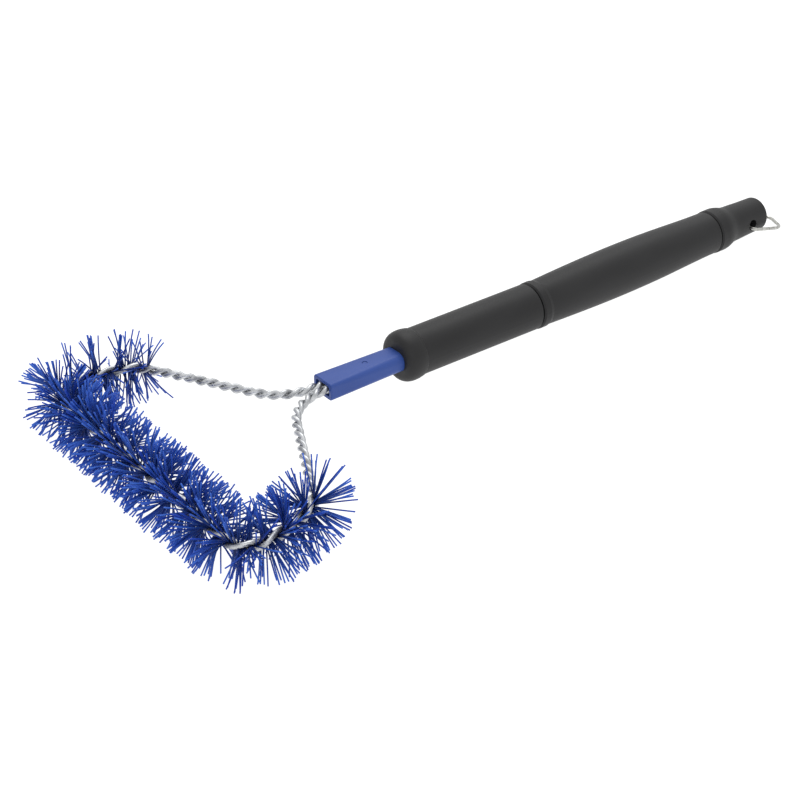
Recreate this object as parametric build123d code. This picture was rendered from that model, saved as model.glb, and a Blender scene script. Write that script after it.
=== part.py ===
from build123d import *
import math
import os

# Grill cleaning brush: a twisted-wire head bent into a rounded triangle, a moulded shank
# that takes the two wire tails, a three-section handle on a tubular core, and a wire
# hanging loop.  Millimetres and degrees.
# Design frame: X across the head, Y from the front bar to the end of the handle, Z up,
# origin at the middle of the front bar.  place() turns it to how the brush lies at rest.

# ---- wire head: half of the centre line, from the bar's middle to the end of a tail ----
BAR_HALF = 76.0
CORNER_R = 12.0
SIDE_R, SIDE_TURN = 65.0, 30.0
SHOULDER_R, SHOULDER_TURN = 12.0, 32.0
FORK_R = 30.0
TAIL_X = 2.7
TAIL_LENGTH = 44.0
OVERRUN = 10.0

# ---- twist: two strands, left-handed ----
WIRE_R = 1.3
PAIR_R_BARE = 1.35
PAIR_R_BRISTLED = 1.65
PITCH_BARE = 13.8
PITCH_BRISTLED = 27.0
SPREAD_BLEND = 8.0
POINTS_PER_TURN = 12
SPARE_POINTS = 3

# ---- bristles: the space that the filaments fill ----
BRISTLE_R = 20.8
BRISTLE_BORE_R = 3.2
BRISTLE_GAP = 0.15

# ---- shank: rounded rectangular tube ----
SHANK_START, SHANK_END = 108.0, 190.0
SHANK_W = 15.6
MOUTH_H, MOUTH_CORNER = 9.7, 1.9
PLUG_H, PLUG_CORNER = 10.6, 4.6
POCKET_W, POCKET_H, POCKET_CORNER = 11.5, 5.9, 1.4
POCKET_END = 152.0
PIN_Y, PIN_R = 135.0, 1.5
PIN_FOOT, PIN_RECESS = 2.5, 0.25

# ---- handle: sections turned about the handle's axis ----
COLLAR_START = 155.0
FRONT_END, REAR_START = 248.2, 249.0
REAR_END, CAP_START = 389.5, 390.1
CAP_END, CAP_EDGE_R = 432.0, 2.2
BEND_Y, BEND = 250.0, 1.1
CORE_R, CORE_BORE_R = 9.5, 7.5
CORE_START, CORE_END = 192.0, 389.0
SPIGOT_START = 366.0
FIT = 0.05

# ---- hanging loop ----
HOLE_Y, HOLE_R = 418.0, 3.2
LOOP_WIRE_R = 1.0
LOOP_Y, LOOP_Z = 417.7, 1.3
LOOP_DROOP = 11.0
LOOP_BASE_X, LOOP_SHOULDER_X, LOOP_SHOULDER_Y, LOOP_TIP_Y = 12.9, 15.0, 21.8, 29.5
LOOP_BASE_BEND, LOOP_SHOULDER_BEND, LOOP_TIP_BEND = 3.0, 8.0, 6.0

# ---- rest: the bristles and the belly of the rear grip touch the ground ----
BELLY_Y, BELLY_R = 317.0, 14.5

ARM_TURN = 180.0 - 90.0 - SIDE_TURN - SHOULDER_TURN
FORK_TURN = 90.0 - ARM_TURN
BELLY_BOTTOM = BELLY_R - math.tan(math.radians(BEND)) * (BELLY_Y - BEND_Y)


def arc_length(radius, turn):
    return radius * math.radians(turn)


def after_legs(legs, distance):
    """Point and heading (radians) after a distance along legs of (length, turn)."""
    x = y = heading = 0.0
    for length, turn in legs:
        step = min(distance, length)
        bend = math.radians(turn) * step / length
        chord = step if bend == 0 else 2 * step / bend * math.sin(bend / 2)
        x += chord * math.cos(heading + bend / 2)
        y += chord * math.sin(heading + bend / 2)
        heading += bend
        distance -= step
    return x, y, heading


def head_legs():
    """Legs of half the centre line; the arm is as long as brings the tail to TAIL_X."""
    shaped = [
        (BAR_HALF, 0.0),
        (arc_length(CORNER_R, 90.0), 90.0),
        (arc_length(SIDE_R, SIDE_TURN), SIDE_TURN),
        (arc_length(SHOULDER_R, SHOULDER_TURN), SHOULDER_TURN),
    ]
    x, _, _ = after_legs(shaped, sum(length for length, _ in shaped))
    across = x - TAIL_X - FORK_R * (1 - math.cos(math.radians(FORK_TURN)))
    arm = across / math.cos(math.radians(ARM_TURN))
    fork = (arc_length(FORK_R, FORK_TURN), -FORK_TURN)
    return shaped + [(arm, 0.0), fork, (TAIL_LENGTH + OVERRUN, 0.0)]


LEGS = head_legs()
SIDE_START = BAR_HALF
ARM_START = sum(length for length, _ in LEGS[:4])
HALF_LENGTH = sum(length for length, _ in LEGS) - OVERRUN
FORK_Y = after_legs(LEGS, HALF_LENGTH - TAIL_LENGTH)[1]
# The head leans down from the fork so that it lies level when the belly touches the ground.
LEAN = math.degrees(math.atan((BRISTLE_R - BELLY_BOTTOM) / (BELLY_Y - FORK_Y)))


def centre_point(s):
    """Centre line at s mm from the bar's middle; negative s is the left half."""
    x, y, _ = after_legs(LEGS, abs(s))
    drop = max(FORK_Y - y, 0.0) * math.tan(math.radians(LEAN))
    return Vector(math.copysign(x, s), y, -drop)


def across(s):
    """Unit vector in the head's plane, square to the centre line."""
    _, _, heading = after_legs(LEGS, abs(s))
    return Vector(-math.copysign(math.sin(heading), s), math.cos(heading), 0)


def twist_angle(s):
    """Angle that the pair has turned from the bar's middle; falling is left-handed."""
    turns = min(abs(s), ARM_START) / PITCH_BRISTLED + max(abs(s) - ARM_START, 0) / PITCH_BARE
    return -math.copysign(2 * math.pi * turns, s)


def pair_radius(s):
    """Distance of a strand from the centre line; bristles hold the strands apart."""
    bare = min(max((abs(s) - ARM_START) / SPREAD_BLEND, 0.0), 1.0)
    ease = bare * bare * (3 - 2 * bare)
    return PAIR_R_BRISTLED + (PAIR_R_BARE - PAIR_R_BRISTLED) * ease


def strand_point(s, phase):
    angle = twist_angle(s) + phase
    offset = across(s) * math.cos(angle) + Vector(0, 0, 1) * math.sin(angle)
    return centre_point(s) + offset * pair_radius(s)


def strand(start, end, phase):
    """One strand between two distances along the centre line.

    Its spline runs on past both ends and is trimmed, so that stretches meet in line.
    """
    pitch = PITCH_BARE if abs(start + end) / 2 > ARM_START else PITCH_BRISTLED
    count = math.ceil((end - start) / pitch * POINTS_PER_TURN)
    step = (end - start) / count
    points = [strand_point(start + step * i, phase) for i in range(-SPARE_POINTS, count + SPARE_POINTS + 1)]
    path = Edge.make_spline(points).trim(points[SPARE_POINTS], points[-SPARE_POINTS - 1])
    return sweep(Plane(origin=path @ 0, z_dir=path % 0) * Circle(WIRE_R), path=path)


def wire_nodes():
    """Both strands, each cut where the head turns from one stretch to the next."""
    stretches = {
        "left_arm": (-HALF_LENGTH, -ARM_START),
        "left_side": (-ARM_START, -SIDE_START),
        "front_bar": (-SIDE_START, SIDE_START),
        "right_side": (SIDE_START, ARM_START),
        "right_arm": (ARM_START, HALF_LENGTH),
    }
    nodes = {}
    for name, (start, end) in stretches.items():
        for letter, phase in (("a", 0.0), ("b", math.pi)):
            nodes[f"wire_{letter}_{name}"] = strand(start, end, phase)
    return nodes


def bristle_bore(hand):
    """Space for the twisted pair along one half of the bristled zone; hand is 1 or -1."""
    edges = []
    start = 0.0
    for length, turn in LEGS[:5]:
        first, middle, last = (
            centre_point(hand * (start + length * part)) for part in (0.0, 0.5, 1.0)
        )
        edges.append(ThreePointArc(first, middle, last) if turn else Line(first, last))
        start += length
    path = Wire(edges)
    return sweep(Plane(origin=path @ 0, z_dir=path % 0) * Circle(BRISTLE_BORE_R), path=path)


def rod(start, end, radius):
    """Cylinder between two points."""
    line = Vector(*end) - Vector(*start)
    middle = (Vector(*end) + Vector(*start)) * 0.5
    return Plane(origin=middle, z_dir=line) * Cylinder(radius, line.length)


def bristle_bar():
    sleeve = rod(centre_point(-BAR_HALF), centre_point(BAR_HALF), BRISTLE_R)
    return sleeve - bristle_bore(1) - bristle_bore(-1)


def bristle_side(hand):
    """Round the corner, along the side and over the shoulder; hand is 1 or -1."""
    corner = centre_point(hand * (SIDE_START + LEGS[1][0] / 2))
    middle = centre_point(hand * (SIDE_START + LEGS[1][0] + LEGS[2][0] / 2))
    end = centre_point(hand * ARM_START)
    solid = Pos(corner) * Sphere(BRISTLE_R) + rod(corner, middle, BRISTLE_R)
    solid = solid + Pos(middle) * Sphere(BRISTLE_R) + rod(middle, end, BRISTLE_R)
    past_bar = Vector(BAR_HALF + BRISTLE_GAP, 0, centre_point(0).Z)
    bar = rod(past_bar, (-past_bar.X, 0, past_bar.Z), BRISTLE_R + BRISTLE_GAP)
    return solid - bar - bristle_bore(hand)


def bristle_nodes():
    return {
        "bristles_left_side": bristle_side(-1),
        "bristles_front_bar": bristle_bar(),
        "bristles_right_side": bristle_side(1),
    }


def rounded_section(width, height, corner, y):
    """Rounded rectangle in the plane square to Y."""
    return Plane(origin=(0, y, 0), x_dir=(1, 0, 0), z_dir=(0, -1, 0)) * RectangleRounded(width, height, corner)


def rounded_block(width, height, corner, start, end):
    return extrude(rounded_section(width, height, corner, end), amount=end - start)


def shank():
    """Nose that takes the two wire tails, growing rounder towards a solid plug in the grip."""
    mouth = rounded_section(SHANK_W, MOUTH_H, MOUTH_CORNER, SHANK_START)
    collar = rounded_section(SHANK_W, PLUG_H, PLUG_CORNER, COLLAR_START)
    nose = fillet(loft([mouth, collar]).faces().sort_by(Axis.Y)[0].outer_wire().edges(), 0.5)
    plug = rounded_block(SHANK_W, PLUG_H, PLUG_CORNER, COLLAR_START, SHANK_END)
    pocket = rounded_block(POCKET_W, POCKET_H, POCKET_CORNER, SHANK_START, POCKET_END)
    pin_hole = Pos(0, PIN_Y, MOUTH_H) * Cylinder(PIN_R, 2 * (MOUTH_H - PIN_FOOT))
    return nose + plug - pocket - pin_hole


def set_pin():
    """Round pin through the shank's top wall; its foot bears on the two tails."""
    grown = (PIN_Y - SHANK_START) / (COLLAR_START - SHANK_START)
    top = (MOUTH_H + (PLUG_H - MOUTH_H) * grown) / 2 - PIN_RECESS
    pin = Pos(0, PIN_Y, (top + PIN_FOOT) / 2) * Cylinder(PIN_R - FIT, top - PIN_FOOT)
    return chamfer(pin.edges().group_by(Axis.Z)[-1], 0.2)


def turned(outer):
    """Solid of revolution about Y inside an outer profile."""
    first, last = outer[0] @ 0, outer[-1] @ 1
    closing = Polyline(last, (0, last.Y), (0, first.Y), first)
    return revolve(make_face(Wire(outer + closing.edges())), Axis.Y)


def bent(solid):
    """Rear half of the handle leans up from the seam between the two grips."""
    return Pos(0, BEND_Y, 0) * Rot(BEND, 0, 0) * Pos(0, -BEND_Y, 0) * solid


def core_rod(start, end, radius):
    """Rod on the core's straight axis, which rises to meet the rear half of the handle."""
    rise = math.tan(math.radians(BEND)) * (CORE_END - BEND_Y) / (CORE_END - CORE_START)
    return rod((0, start, rise * (start - CORE_START)), (0, end, rise * (end - CORE_START)), radius)


def front_grip():
    """Bead-shaped collar and straight barrel; socket for the shank, bore for the core."""
    bead = Spline((9.6, COLLAR_START), (12.7, 156.7), (14.05, 161.0), (13.55, 166.4))
    step = Line((13.55, 166.4), (13.0, 167.2))
    barrel = Line((13.0, 167.2), (13.15, FRONT_END - 0.6))
    edge = Line((13.15, FRONT_END - 0.6), (12.6, FRONT_END))
    grip = turned([bead, step, barrel, edge])
    socket = rounded_block(SHANK_W + 2 * FIT, PLUG_H + 2 * FIT, PLUG_CORNER, COLLAR_START - 1, CORE_START)
    return grip - socket - core_rod(CORE_START - 0.5, FRONT_END + 1, CORE_R + FIT)


def rear_grip():
    """Raised ring at the front, then a barrel that swells and narrows again."""
    front = Line((12.6, REAR_START), (13.45, REAR_START + 0.9))
    ring = Line((13.45, REAR_START + 0.9), (13.5, 253.6))
    neck = Line((13.5, 253.6), (13.0, 255.6))
    swell = Spline((13.0, 255.6), (13.95, 282), (BELLY_R, 315), (14.0, 349), (13.0, 375), (12.7, 388.9))
    edge = Line((12.7, 388.9), (12.2, REAR_END))
    return bent(turned([front, ring, neck, swell, edge])) - core_rod(BEND_Y - 5, REAR_END + 1, CORE_R + FIT)


def end_cap():
    """Ring, tapered neck and end section, with the cross hole and a spigot in the core."""
    front = Line((12.2, CAP_START), (13.05, CAP_START + 0.9))
    ring = Line((13.05, CAP_START + 0.9), (13.1, 396.4))
    neck = Spline((13.1, 396.4), (12.35, 400.6), (11.3, 404.2), (10.8, 410), (10.36, 420), (10.1, 429.8))
    edge = ThreePointArc((10.1, CAP_END - CAP_EDGE_R), (9.4, CAP_END - 0.62), (7.9, CAP_END))
    body = bent(turned([front, ring, neck, edge])) + core_rod(SPIGOT_START, CAP_START + 2, CORE_BORE_R - FIT)
    rise = math.tan(math.radians(BEND)) * (HOLE_Y - BEND_Y)
    return body - rod((-20, HOLE_Y, rise), (20, HOLE_Y, rise), HOLE_R)


def core_tube():
    """Straight tube that joins the two grips and the end cap."""
    return core_rod(CORE_START, CORE_END, CORE_R) - core_rod(CORE_START, CORE_END, CORE_BORE_R)


def hanging_loop():
    """Bail of round wire: base through the cross hole, two legs, and a blunt tip."""
    right = [(LOOP_BASE_X, 0), (LOOP_SHOULDER_X, LOOP_SHOULDER_Y)]
    left = [(-x, y) for x, y in reversed(right)]
    outline = Polyline(*right, (0, LOOP_TIP_Y), *left, close=True)
    wire = outline.wire() if not isinstance(outline, Wire) else outline
    corners = wire.vertices()
    wire = wire.fillet_2d(LOOP_BASE_BEND, corners.filter_by(lambda v: v.Y < 1))
    shoulders = wire.vertices().sort_by(lambda v: abs(v.Y - LOOP_SHOULDER_Y))[:2]
    wire = wire.fillet_2d(LOOP_SHOULDER_BEND, shoulders)
    wire = wire.fillet_2d(LOOP_TIP_BEND, wire.vertices().sort_by(Axis.Y)[-1:])
    ring = sweep(Plane(origin=wire @ 0, z_dir=wire % 0) * Circle(LOOP_WIRE_R), path=wire)
    return Pos(0, LOOP_Y, LOOP_Z) * Rot(-LOOP_DROOP, 0, 0) * ring


def handle_nodes():
    return {
        "shank": shank(),
        "set_pin": set_pin(),
        "core_tube": core_tube(),
        "front_grip": front_grip(),
        "rear_grip": rear_grip(),
        "end_cap": end_cap(),
        "hanging_loop": hanging_loop(),
    }


def place(nodes):
    """Lay the brush on the ground, with the origin under the middle of its box."""
    laid = {name: Rot(-LEAN, 0, 0) * solid for name, solid in nodes.items()}
    box = Compound(children=[Part() + solid for solid in laid.values()]).bounding_box()
    shift = Pos(-box.center().X, -box.center().Y, -box.min.Z)
    return {name: shift * solid for name, solid in laid.items()}


def main():
    os.makedirs("parts", exist_ok=True)
    for name, solid in place({**wire_nodes(), **bristle_nodes(), **handle_nodes()}).items():
        export_step(solid, f"parts/{name}.step")


main()
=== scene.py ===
"""Looks and stage for a twisted-wire grill cleaning brush.

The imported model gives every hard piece.  This script dresses those pieces, grows the nylon
filaments that the plain bristle solids stand for, and sets the floor, lights and camera.
Lengths inside the classes are millimetres in the design frame: X across the head, Y from
the front bar to the handle's end, Z up, origin at the middle of the front bar.
"""
import logging
import math
from dataclasses import dataclass, field
from enum import Enum

import bpy
import numpy as np
from mathutils import Matrix, Vector


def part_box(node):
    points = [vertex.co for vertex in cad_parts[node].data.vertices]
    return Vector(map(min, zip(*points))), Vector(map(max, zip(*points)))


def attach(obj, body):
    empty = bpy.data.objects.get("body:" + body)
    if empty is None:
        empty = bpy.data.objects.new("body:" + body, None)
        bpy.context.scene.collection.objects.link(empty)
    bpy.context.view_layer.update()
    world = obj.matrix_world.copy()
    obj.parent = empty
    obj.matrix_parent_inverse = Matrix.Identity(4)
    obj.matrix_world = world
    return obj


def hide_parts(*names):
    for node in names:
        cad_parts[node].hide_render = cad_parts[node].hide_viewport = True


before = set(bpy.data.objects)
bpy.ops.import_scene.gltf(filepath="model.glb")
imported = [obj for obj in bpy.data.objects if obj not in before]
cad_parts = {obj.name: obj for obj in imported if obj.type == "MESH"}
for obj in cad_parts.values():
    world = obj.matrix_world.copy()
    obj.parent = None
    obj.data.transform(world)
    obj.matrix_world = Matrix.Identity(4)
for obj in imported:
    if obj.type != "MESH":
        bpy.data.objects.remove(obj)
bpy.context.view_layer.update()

MM = 0.001
LOG = logging.getLogger("grill_brush")


def linear_rgba(hex_colour: str) -> tuple[float, float, float, float]:
    """Turn an sRGB hex colour into the linear values that shaders take.

    Args:
        hex_colour: six hex digits, such as "1c3caa".

    Returns:
        Linear red, green and blue, and an alpha of 1.
    """
    parts = [int(hex_colour[i:i + 2], 16) / 255 for i in (0, 2, 4)]
    linear = [c / 12.92 if c <= 0.04045 else ((c + 0.055) / 1.055) ** 2.4 for c in parts]
    return (linear[0], linear[1], linear[2], 1.0)


def add_node(tree: bpy.types.NodeTree, kind: str, settings: dict | None = None,
             inputs: dict | None = None) -> bpy.types.Node:
    """Add one shader node.

    Args:
        tree: the material's node tree.
        kind: the node's type name.
        settings: node attributes to set.
        inputs: input name or index, to a value or to the socket that feeds it.

    Returns:
        The new node.
    """
    node = tree.nodes.new(kind)
    for name, value in (settings or {}).items():
        setattr(node, name, value)
    for name, value in (inputs or {}).items():
        if isinstance(value, bpy.types.NodeSocket):
            tree.links.new(value, node.inputs[name])
        else:
            node.inputs[name].default_value = value
    return node


def new_material(name: str, constants: dict) -> tuple[bpy.types.Material, bpy.types.Node]:
    """Make a material with a plain Principled shader.

    Args:
        name: the material's name.
        constants: values set straight on the shader's sockets.

    Returns:
        The material and its shader node.
    """
    material = bpy.data.materials.new(name)
    material.use_nodes = True
    shader = material.node_tree.nodes["Principled BSDF"]
    for socket, value in constants.items():
        shader.inputs[socket].default_value = value
    return material, shader


def object_noise(tree: bpy.types.NodeTree, size_mm: float, detail: float,
                 stretch: tuple[float, float, float] = (1.0, 1.0, 1.0)) -> bpy.types.NodeSocket:
    """Noise on object coordinates with features of a real size.

    Args:
        tree: the material's node tree.
        size_mm: size of one feature.
        detail: octaves of noise.
        stretch: how much finer the pattern is along each axis.

    Returns:
        The noise value's socket.
    """
    coords = add_node(tree, "ShaderNodeTexCoord")
    mapping = add_node(tree, "ShaderNodeMapping", inputs={
        "Vector": coords.outputs["Object"], "Scale": stretch})
    noise = add_node(tree, "ShaderNodeTexNoise", inputs={
        "Vector": mapping.outputs["Vector"], "Scale": 1 / (size_mm * MM), "Detail": detail})
    return noise.outputs["Fac"]


def ranged(tree: bpy.types.NodeTree, value: bpy.types.NodeSocket,
           low: float, high: float) -> bpy.types.NodeSocket:
    """Map a pattern's middle range, 0.3 to 0.7, to two values.

    Args:
        tree: the material's node tree.
        value: the pattern.
        low: the value at 0.3.
        high: the value at 0.7.

    Returns:
        The mapped value's socket.
    """
    node = add_node(tree, "ShaderNodeMapRange", inputs={
        "Value": value, "From Min": 0.3, "From Max": 0.7, "To Min": low, "To Max": high})
    return node.outputs["Result"]


def tinted(tree: bpy.types.NodeTree, factor: bpy.types.NodeSocket,
           dark: str, light: str) -> bpy.types.NodeSocket:
    """Blend between two sRGB hex colours.

    Args:
        tree: the material's node tree.
        factor: the blend, 0 for dark and 1 for light.
        dark: six hex digits.
        light: six hex digits.

    Returns:
        The colour's socket.
    """
    mix = add_node(tree, "ShaderNodeMix", {"data_type": "RGBA"}, {"Factor": factor})
    mix.inputs["A"].default_value = linear_rgba(dark)
    mix.inputs["B"].default_value = linear_rgba(light)
    return mix.outputs["Result"]


def bumped(tree: bpy.types.NodeTree, height: bpy.types.NodeSocket,
           depth_mm: float, strength: float) -> bpy.types.NodeSocket:
    """Surface relief of a real depth from a height pattern.

    Args:
        tree: the material's node tree.
        height: the pattern.
        depth_mm: depth of the relief.
        strength: how much of it shows, 0 to 1.

    Returns:
        The normal's socket.
    """
    bump = add_node(tree, "ShaderNodeBump", inputs={
        "Height": height, "Distance": depth_mm * MM, "Strength": strength})
    return bump.outputs["Normal"]


@dataclass(frozen=True)
class DrawnGalvanisedWire:
    """Steel wire, zinc coated and drawn: bright grey, soft dull clouds and faint die marks.

    Real die marks are about 0.05 mm wide; they are drawn coarser so that they show.
    """

    name: str = "galvanised_steel_drawn"
    dark: str = "909295"
    light: str = "d4d6d8"
    cloud_mm: float = 5.0
    mark_mm: float = 0.35
    mark_depth_mm: float = 0.02
    dull_roughness: float = 0.42
    bright_roughness: float = 0.32

    def build(self) -> bpy.types.Material:
        """Return the material."""
        material, shader = new_material(self.name, {"Metallic": 0.9})
        tree = material.node_tree
        cloud = object_noise(tree, self.cloud_mm, 3.0)
        marks = object_noise(tree, self.mark_mm, 2.0)
        colour = tinted(tree, ranged(tree, cloud, 0.0, 1.0), self.dark, self.light)
        tree.links.new(colour, shader.inputs["Base Color"])
        rough = ranged(tree, cloud, self.dull_roughness, self.bright_roughness)
        tree.links.new(rough, shader.inputs["Roughness"])
        tree.links.new(bumped(tree, marks, self.mark_depth_mm, 0.15), shader.inputs["Normal"])
        return material


@dataclass(frozen=True)
class DullZincWire(DrawnGalvanisedWire):
    """Zinc-plated bail wire: flatter and greyer than the drawn wire of the head."""

    name: str = "zinc_plated_bail_wire"
    dark: str = "8f8f8b"
    light: str = "cfcfca"
    cloud_mm: float = 1.4


@dataclass(frozen=True)
class NylonFilament:
    """Extruded nylon 6: royal blue, with a soft gloss along each filament.

    The tint attribute, 0 to 1 for each filament, gives the small colour spread between
    filaments, and the depth attribute fades a painted shade from the crowded roots to the tips.
    """

    name: str = "nylon_filament_extruded"
    # painted shade: near-black navy laid on at the crowded roots, fading to the filament's blue by the
    # tips
    root_painted_shade: str = "04164c"
    dark: str = "1239a2"
    light: str = "3e6bca"

    def build(self) -> bpy.types.Material:
        """Return the material."""
        material, shader = new_material(self.name, {
            "Roughness": 0.42, "IOR": 1.53, "Specular IOR Level": 0.14})
        tree = material.node_tree
        tint = add_node(tree, "ShaderNodeAttribute", {"attribute_name": "tint"})
        depth = add_node(tree, "ShaderNodeAttribute", {"attribute_name": "depth"})
        body = tinted(tree, tint.outputs["Fac"], self.dark, self.light)
        # Factor is the depth attribute: 0 at the wire gives the painted root shade, 1 gives the filament's
        # own blue
        mix = add_node(tree, "ShaderNodeMix", {"data_type": "RGBA"}, {"Factor": depth.outputs["Fac"]})
        mix.inputs["A"].default_value = linear_rgba(self.root_painted_shade)
        tree.links.new(body, mix.inputs["B"])
        tree.links.new(mix.outputs["Result"], shader.inputs["Base Color"])
        return material


@dataclass(frozen=True)
class MouldedPolypropylene:
    """Injection-moulded polypropylene: even satin colour over a fine spark-eroded texture.

    The real texture is about 0.1 mm; it is drawn coarser so that it shows.
    """

    name: str
    dark: str
    light: str
    roughness: float
    gloss: float
    roughness_spread: float = 0.05
    flow_mm: float = 18.0
    grain_mm: float = 0.45
    relief_mm: float = 0.02

    def build(self) -> bpy.types.Material:
        """Return the material."""
        material, shader = new_material(self.name, {"IOR": 1.49, "Specular IOR Level": self.gloss})
        tree = material.node_tree
        flow = object_noise(tree, self.flow_mm, 2.0, (1.0, 0.35, 1.0))
        grain = object_noise(tree, self.grain_mm, 2.0)
        colour = tinted(tree, ranged(tree, flow, 0.0, 1.0), self.dark, self.light)
        tree.links.new(colour, shader.inputs["Base Color"])
        rough = ranged(tree, grain, self.roughness - self.roughness_spread,
                       self.roughness + self.roughness_spread)
        tree.links.new(rough, shader.inputs["Roughness"])
        tree.links.new(bumped(tree, grain, self.relief_mm, 0.5), shader.inputs["Normal"])
        return material


class Finish(Enum):
    """The finishes of this brush, each built once."""

    WIRE = DrawnGalvanisedWire()
    BAIL = DullZincWire()
    FILAMENT = NylonFilament()
    SHANK = MouldedPolypropylene("polypropylene_blue_moulded", "264083", "2f4a90", 0.42, 0.32)
    GRIP = MouldedPolypropylene("polypropylene_black_textured", "1b1b1c", "222223", 0.52, 0.3)
    CORE = MouldedPolypropylene("polypropylene_core_plain", "1a1a1b", "202021", 0.5, 0.4)

    def material(self) -> bpy.types.Material:
        """Return this finish's material, building it the first time."""
        return bpy.data.materials.get(self.value.name) or self.value.build()


def dress(node: str, finish: Finish) -> None:
    """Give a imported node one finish.

    Args:
        node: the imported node's name.
        finish: what it is made of.
    """
    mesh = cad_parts[node].data
    mesh.materials.clear()
    mesh.materials.append(finish.material())
    LOG.info("dressed %s as %s", node, finish.value.name)


@dataclass(frozen=True)
class DesignFrame:
    """Turns design-frame millimetres into the row's metres.

    The brush lies on the ground leaning by lean degrees about X, and the bristle bar's box
    fixes where the design origin went.
    """

    lean: float = 2.0525
    bar_drop: float = 3.773

    def rotation(self) -> np.ndarray:
        """Return the 3x3 turn from the design frame to the row."""
        return np.array(Matrix.Rotation(-math.radians(self.lean), 3, "X"))

    def to_row(self, points: np.ndarray) -> np.ndarray:
        """Return points, given in design millimetres, as row metres."""
        low, high = (np.array(corner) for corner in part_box("bristles_front_bar"))
        bar = np.array([0.0, 0.0, -self.bar_drop]) @ self.rotation().T * MM
        return points @ self.rotation().T * MM + (low + high) / 2 - bar


@dataclass(frozen=True)
class WirePath:
    """Centre line of the twisted pair, from the bar's middle out to where the arm is bare.

    A leg is (length, turn): a straight run, or an arc that turns the given degrees.
    """

    bar_half: float = 76.0
    corner: tuple[float, float] = (12.0, 90.0)
    side: tuple[float, float] = (65.0, 30.0)
    shoulder: tuple[float, float] = (12.0, 32.0)
    pitch: float = 27.0
    fork_y: float = 105.28

    def legs(self) -> list[tuple[float, float]]:
        """Return (length, turn in radians) from the middle of the bar outwards."""
        arcs = [(r * math.radians(t), math.radians(t)) for r, t in (self.corner, self.side, self.shoulder)]
        return [(self.bar_half, 0.0)] + arcs

    def half_length(self) -> float:
        """Return the bristled length on each side of the bar's middle."""
        return sum(length for length, _ in self.legs())

    def frames(self, s: np.ndarray) -> tuple[np.ndarray, np.ndarray, np.ndarray]:
        """Points and directions on the centre line, for distances s from the bar's middle.

        Each leg adds its chord, of length 2 R sin(a/2), at the heading plus a/2, where a is
        the angle turned so far in it.  Negative s is the mirror image in X.

        Args:
            s: signed distances in millimetres.

        Returns:
            Points, unit tangents towards growing s, and unit vectors square to them in plan.
        """
        left = np.abs(s).astype(float)
        x, y, heading = np.zeros_like(left), np.zeros_like(left), np.zeros_like(left)
        for length, turn in self.legs():
            step = np.clip(left, 0.0, length)
            bend = turn * step / length
            chord = step * np.sinc(bend / (2 * np.pi))
            x += chord * np.cos(heading + bend / 2)
            y += chord * np.sin(heading + bend / 2)
            heading += bend
            left -= step
        x += left * np.cos(heading)
        y += left * np.sin(heading)
        sign = np.where(s < 0, -1.0, 1.0)
        slope = math.tan(math.radians(DesignFrame().lean))
        points = np.stack([sign * x, y, -(self.fork_y - y) * slope], 1)
        tangent = np.stack([np.cos(heading), sign * np.sin(heading), np.zeros_like(x)], 1)
        across = np.stack([-tangent[:, 1], tangent[:, 0], np.zeros_like(x)], 1)
        return points, tangent, across

    def twist(self, s: np.ndarray) -> np.ndarray:
        """Return the angle of the left-handed pair at distances s."""
        return -2 * np.pi * s / self.pitch


@dataclass(frozen=True)
class Gap:
    """A place along the wire where filaments are missing."""

    middle: float
    width: float
    share: float

    def kept(self, s: np.ndarray) -> np.ndarray:
        """Return the share kept at distances s: 1 less a bell curve about the middle."""
        return 1.0 - self.share * np.exp(-((s - self.middle) / self.width) ** 2)


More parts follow.
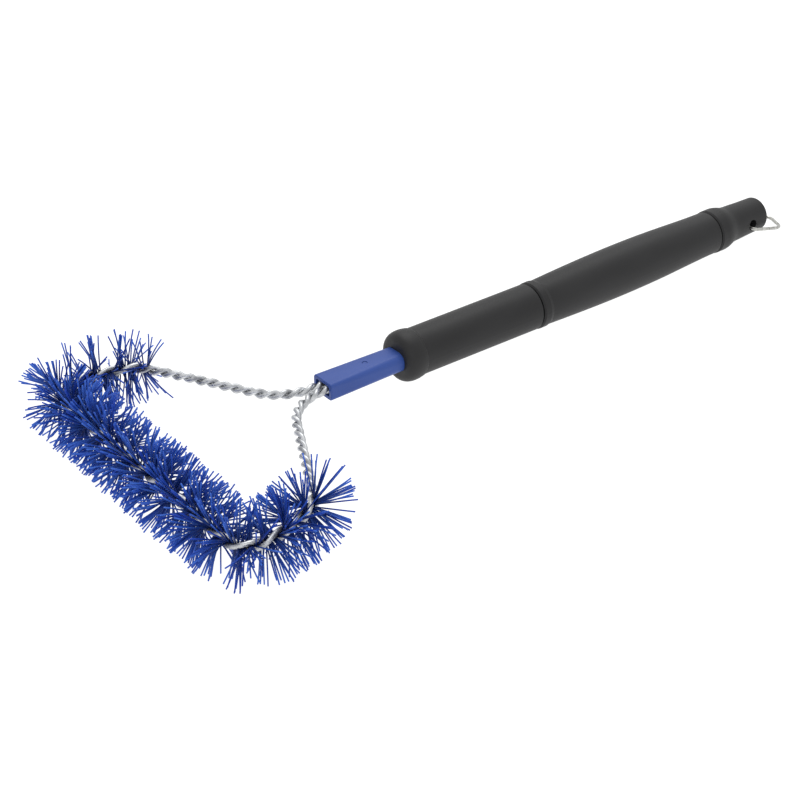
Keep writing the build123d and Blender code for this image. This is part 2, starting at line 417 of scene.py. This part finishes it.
@dataclass
class BristleField:
    """The nylon filaments: each is trapped in the twist and shows as two halves.

    Filaments come in small tufts, evenly spaced.  A tuft shares one direction square to the
    strands and one lean along the wire, and its filaments spread a little about both.
    Lengths are in millimetres and angles in degrees.
    """

    path: WirePath = field(default_factory=WirePath)
    radius: float = 20.9
    thickness: float = 0.78
    per_mm: float = 7.1
    tuft_size: int = 2
    tuft_angle: float = 10.0
    tuft_lean: float = 8.0
    loose_angle: float = 8.0
    loose_lean: float = 6.0
    slip: float = 0.5
    stray_share: float = 0.07
    stray_spread: float = 2.8
    reach_spread: float = 0.028
    side_from: float = 80.0
    side_reach: float = 0.3
    right_gap: Gap = Gap(86.0, 14.0, 0.55)
    left_gap: Gap = Gap(-104.0, 26.0, 0.42)
    end_from: float = 112.0
    end_share: float = 0.15
    flare_length: float = 10.0
    flare_lean: float = 38.0
    bow: float = 0.03
    root_lean: float = 0.8
    shade_rise: float = 1.1
    sides: int = 5
    rings: int = 6
    ground_gap: float = 0.3
    seed: int = 11

    def stretches(self) -> dict[str, tuple[float, float]]:
        """Return the span of s that each bristle node stands for."""
        end = self.path.half_length()
        bar = self.path.bar_half
        return {
            "bristles_left_side": (-end, -bar),
            "bristles_front_bar": (-bar, bar),
            "bristles_right_side": (bar, end),
        }

    def thinning(self, s: np.ndarray) -> np.ndarray:
        """Share of filaments kept: full along the bar, thinner round the corners and sides.

        Args:
            s: signed distances in millimetres.

        Returns:
            A share from 0 to 1 for each distance.
        """
        ends = 1.0 - self.end_share * (np.abs(s) > self.end_from)
        return self.right_gap.kept(s) * self.left_gap.kept(s) * ends

    def roots(self, span: tuple[float, float], rng: np.random.Generator) -> dict[str, np.ndarray]:
        """Choose where each half filament is trapped and which way it points.

        Args:
            span: first and last distance along the wire.
            rng: seeded random numbers.

        Returns:
            Arrays s, angle, lean, reach and tint, one value for each half filament.
        """
        count = int((span[1] - span[0]) * self.per_mm / self.tuft_size)
        tuft_s = np.linspace(span[0], span[1], count, endpoint=False)
        tuft_s = tuft_s + rng.uniform(0, self.tuft_size / self.per_mm, count)
        tuft_s = tuft_s[rng.uniform(size=count) < self.thinning(tuft_s)]
        tufts, size = len(tuft_s), self.tuft_size
        total = tufts * size
        side = np.repeat(rng.integers(0, 2, tufts), size) * np.pi
        angle = side + np.repeat(rng.normal(0, math.radians(self.tuft_angle), tufts), size)
        lean = np.repeat(rng.normal(0, math.radians(self.tuft_lean), tufts), size)
        stray = rng.uniform(size=total) < self.stray_share
        spread = np.where(stray, self.stray_spread, 1.0)
        angle += rng.normal(0, math.radians(self.loose_angle), total) * spread
        lean += rng.normal(0, math.radians(self.loose_lean), total) * spread
        s = np.repeat(tuft_s, size) + rng.normal(0, self.slip, total)
        s = np.clip(s, span[0], span[1])
        flare_start = self.path.half_length() - self.flare_length
        flare = np.clip((np.abs(s) - flare_start) / self.flare_length, 0, 1)
        flare = flare * rng.uniform(-0.2, 1.0, total)
        lean += np.sign(s) * flare * math.radians(self.flare_lean)
        reach = self.radius * (1 + rng.normal(0, self.reach_spread, total))
        reach += np.where(np.abs(s) > self.side_from, self.side_reach, 0.0)
        return {"s": s, "angle": angle, "lean": lean, "reach": reach, "tint": rng.uniform(size=total)}

    def spines(self, roots: dict[str, np.ndarray], rng: np.random.Generator) -> np.ndarray:
        """Centre lines of the half filaments, in row metres.

        At part t of its length a filament is at reach * t from the wire, in the direction
        angle.  Its lean grows evenly from root_lean of the full value at the wire to all of
        it at the tip, and a slight bow grows as t squared.  A point that would be under the
        ground is laid on it.

        Args:
            roots: the arrays from roots().
            rng: seeded random numbers.

        Returns:
            An array of shape (filaments, rings, 3).
        """
        points, tangent, across = self.path.frames(roots["s"])
        up = np.cross(tangent, across)
        t = np.linspace(0.0, 1.0, self.rings)[None, :]
        bow = rng.normal(0, self.bow, len(points))[:, None] * t ** 2
        angle = (self.path.twist(roots["s"]) + np.pi / 2 + roots["angle"])[:, None] + bow
        lean = roots["lean"][:, None] * (self.root_lean + (1 - self.root_lean) * t)
        lean = lean + rng.normal(0, self.bow, len(points))[:, None] * t
        distance = roots["reach"][:, None] * t
        radial = distance * np.cos(lean)
        along = distance * np.sin(lean)
        spine = (points[:, None, :] + tangent[:, None, :] * along[..., None]
                 + across[:, None, :] * (radial * np.cos(angle))[..., None]
                 + up[:, None, :] * (radial * np.sin(angle))[..., None])
        row = DesignFrame().to_row(spine.reshape(-1, 3)).reshape(spine.shape)
        lowest = (self.thickness / 2 + self.ground_gap) * MM
        row[..., 2] = np.maximum(row[..., 2], lowest)
        return row

    def tubes(self, spine: np.ndarray) -> tuple[np.ndarray, list[list[int]]]:
        """Closed round tubes along spines.

        Each ring lies in the plane of two unit vectors square to the filament's chord, at
        the filament's radius; the first and last rings are capped with one polygon each.

        Args:
            spine: centre lines, shape (filaments, rings, 3).

        Returns:
            Vertices, and faces as lists of vertex indices: side quads, then both caps.
        """
        chord = spine[:, -1] - spine[:, 0]
        chord /= np.linalg.norm(chord, axis=1, keepdims=True)
        helper = np.where(np.abs(chord[:, 2:3]) < 0.9, [[0.0, 0.0, 1.0]], [[1.0, 0.0, 0.0]])
        first = np.cross(chord, helper)
        first /= np.linalg.norm(first, axis=1, keepdims=True)
        second = np.cross(chord, first)
        turn = np.linspace(0, 2 * np.pi, self.sides, endpoint=False)
        cosine, sine = np.cos(turn)[None, :, None], np.sin(turn)[None, :, None]
        ring = first[:, None, :] * cosine + second[:, None, :] * sine
        verts = spine[:, :, None, :] + ring[:, None, :, :] * (self.thickness / 2 * MM)
        k, j = np.meshgrid(np.arange(self.rings - 1), np.arange(self.sides), indexing="ij")
        nxt = (j + 1) % self.sides
        quad = np.stack([k * self.sides + j, k * self.sides + nxt,
                         (k + 1) * self.sides + nxt, (k + 1) * self.sides + j], -1).reshape(-1, 4)
        start = np.arange(len(spine))[:, None] * (self.rings * self.sides)
        quads = (quad[None] + start[:, :, None]).reshape(-1, 4)
        bottom = start + np.arange(self.sides)[::-1]
        top = start + (self.rings - 1) * self.sides + np.arange(self.sides)
        return verts.reshape(-1, 3), quads.tolist() + bottom.tolist() + top.tolist()

    def build(self) -> None:
        """Make one mesh of filaments for each bristle node, and put it in the node's place."""
        rng = np.random.default_rng(self.seed)
        for node, span in self.stretches().items():
            roots = self.roots(span, rng)
            spine = self.spines(roots, rng)
            verts, faces = self.tubes(spine)
            mesh = bpy.data.meshes.new(node + "_filaments")
            mesh.from_pydata(verts, [], faces)
            mesh.update()
            mesh.shade_smooth()
            per = self.rings * self.sides
            tint = mesh.attributes.new("tint", "FLOAT", "POINT")
            tint.data.foreach_set("value", np.repeat(roots["tint"], per))
            # depth is the painted root shade's mask: 0 at the wire, where the shade colour is laid on,
            # rising to 1 at the tips
            depth = mesh.attributes.new("depth", "FLOAT", "POINT")
            along = np.clip(np.linspace(0, 1, self.rings) * self.shade_rise, 0, 1)
            depth.data.foreach_set("value", np.tile(np.repeat(along, self.sides), len(spine)))
            mesh.materials.append(Finish.FILAMENT.material())
            piece = bpy.data.objects.new(node + "_filaments", mesh)
            bpy.context.scene.collection.objects.link(piece)
            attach(piece, "brush")
            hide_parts(node)
            LOG.info("%s: %d half filaments", piece.name, len(spine))


@dataclass
class WireHead:
    """The twisted pair, in five stretches of two strands."""

    stretches: tuple[str, ...] = ("left_arm", "left_side", "front_bar", "right_side", "right_arm")

    def build(self) -> None:
        """Dress both strands of every stretch."""
        for stretch in self.stretches:
            for letter in "ab":
                dress(f"wire_{letter}_{stretch}", Finish.WIRE)


@dataclass
class Handle:
    """Shank, core, grips, end cap and the hanging loop."""

    finishes: dict[str, Finish] = field(default_factory=lambda: {
        "shank": Finish.SHANK,
        "set_pin": Finish.SHANK,
        "core_tube": Finish.CORE,
        "front_grip": Finish.GRIP,
        "rear_grip": Finish.GRIP,
        "end_cap": Finish.GRIP,
        "hanging_loop": Finish.BAIL,
    })

    def build(self) -> None:
        """Dress every piece of the handle."""
        for node, finish in self.finishes.items():
            dress(node, finish)


@dataclass(frozen=True)
class Softbox:
    """A square area light aimed at the middle of the brush, in metres and watts."""

    name: str
    place: tuple[float, float, float]
    size: float
    watts: float

    def build(self) -> None:
        """Add the light to the scene."""
        data = bpy.data.lights.new(self.name, "AREA")
        data.size = self.size
        data.energy = self.watts
        lamp = bpy.data.objects.new(self.name, data)
        lamp.location = self.place
        lamp.rotation_mode = "QUATERNION"
        lamp.rotation_quaternion = (-Vector(self.place)).to_track_quat("-Z", "Y")
        bpy.context.scene.collection.objects.link(lamp)


@dataclass
class Studio:
    """Lit white table, soft overhead light and the camera."""

    azimuth: float = 51.99
    elevation: float = 31.55
    distance: float = 934.4
    lens: float = 78.22
    aim: tuple[float, float, float] = (-5.5, 162.4, -30.6)
    floor_half: float = 6.0
    floor_colour: str = "6e6e6e"
    floor_glow: float = 1.0
    room: float = 0.95
    softboxes: tuple[Softbox, ...] = (
        Softbox("key_softbox", (-0.6, 0.5, 1.6), 1.4, 15.0),
        Softbox("fill_softbox", (1.4, -0.9, 0.9), 1.0, 2.0),
    )

    def floor(self) -> None:
        """A lit acrylic table under the brush, bright enough to hide its soft shadows."""
        half = self.floor_half
        mesh = bpy.data.meshes.new("floor")
        corners = [(-half, -half, 0), (half, -half, 0), (half, half, 0), (-half, half, 0)]
        mesh.from_pydata(corners, [], [(0, 1, 2, 3)])
        material, shader = new_material("acrylic_lit_opal", {
            "Roughness": 0.9, "Specular IOR Level": 0.1, "Emission Color": (1.0, 1.0, 1.0, 1.0),
            "Emission Strength": self.floor_glow})
        shader.inputs["Base Color"].default_value = linear_rgba(self.floor_colour)
        mesh.materials.append(material)
        sheet = bpy.data.objects.new("floor", mesh)
        bpy.context.scene.collection.objects.link(sheet)

    def lights(self) -> None:
        """Bright surroundings with one large key light and a weaker fill."""
        world = bpy.data.worlds.new("bright_room")
        world.use_nodes = True
        background = world.node_tree.nodes["Background"]
        background.inputs["Color"].default_value = linear_rgba("ffffff")
        background.inputs["Strength"].default_value = self.room
        bpy.context.scene.world = world
        for softbox in self.softboxes:
            softbox.build()
        view = bpy.context.scene.view_settings
        view.view_transform = "Standard"
        view.look = "None"

    def camera(self) -> None:
        """Camera square to the aim point, placed in the design frame and turned to the row."""
        azimuth, elevation = math.radians(self.azimuth), math.radians(self.elevation)
        back = np.array([math.sin(azimuth) * math.cos(elevation),
                         -math.cos(azimuth) * math.cos(elevation), math.sin(elevation)])
        aim = np.array(self.aim)
        design = DesignFrame()
        eye, target = design.to_row(np.stack([aim + back * self.distance, aim]))
        forward = Vector(target - eye).normalized()
        upright = Vector(design.rotation() @ np.array([0.0, 0.0, 1.0]))
        right = forward.cross(upright).normalized()
        turn = Matrix((right, right.cross(forward), -forward)).transposed()
        data = bpy.data.cameras.new("camera")
        data.lens = self.lens
        data.sensor_width = 36.0
        data.clip_start, data.clip_end = 0.01, 50.0
        camera = bpy.data.objects.new("camera", data)
        camera.matrix_world = Matrix.Translation(Vector(eye)) @ turn.to_4x4()
        bpy.context.scene.collection.objects.link(camera)
        bpy.context.scene.camera = camera

    def build(self) -> None:
        """Set the floor, the lights and the camera."""
        self.floor()
        self.lights()
        self.camera()
        LOG.info("studio set")


def main() -> None:
    """Build the stage, dress the brush and grow its bristles."""
    logging.basicConfig(level=logging.INFO, format="%(name)s: %(message)s")
    Studio().build()
    WireHead().build()
    Handle().build()
    BristleField().build()


if __name__ == "__main__":
    main()
